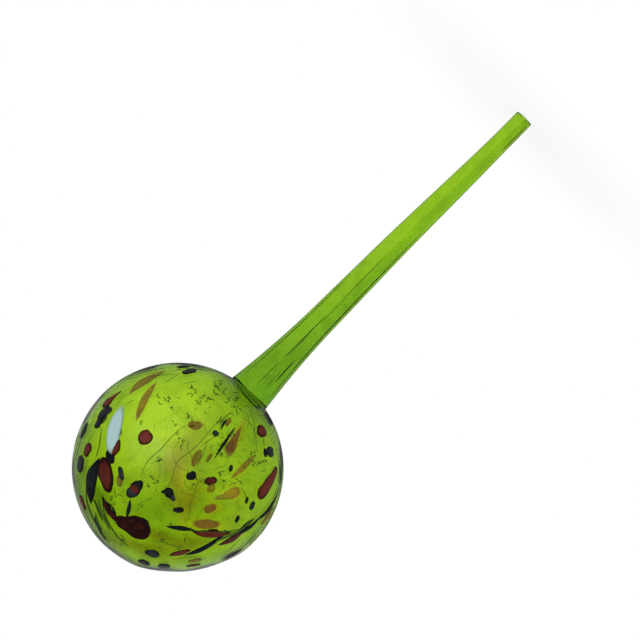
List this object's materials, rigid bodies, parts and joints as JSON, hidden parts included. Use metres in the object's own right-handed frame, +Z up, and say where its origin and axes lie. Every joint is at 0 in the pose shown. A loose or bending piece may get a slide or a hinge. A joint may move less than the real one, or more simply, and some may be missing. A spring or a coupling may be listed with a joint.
{
  "type": "watering globe",
  "caption": "Blown green glass watering globe with coloured glass chips, on a tapered hollow stem that is pushed into soil to water a pot plant.",
  "frame": {"origin": "middle of the stem's open end, at its lowest point in use", "axes": "+Z up the stem to the bulb on top, as it stands in a pot; -Y faces the side of the bulb that the picture shows"},
  "size_m": [0.089, 0.0892, 0.2536],
  "materials": {
    "green_glass": "clear, glossy, tinted yellow-green through the body",
    "black_glass": "opaque, glossy",
    "red_glass": "nearly opaque, glossy",
    "amber_glass": "translucent, glossy",
    "pale_glass": "opal, glossy"
  },
  "bodies": {
    "root": {"bulb": "green_glass", "stem": "green_glass", "black_chips": "black_glass", "black_trails": "black_glass", "red_chips": "red_glass", "red_trails": "red_glass", "amber_chips": "amber_glass", "amber_trails": "amber_glass", "pale_chips": "pale_glass"}
  },
  "joints": []
}
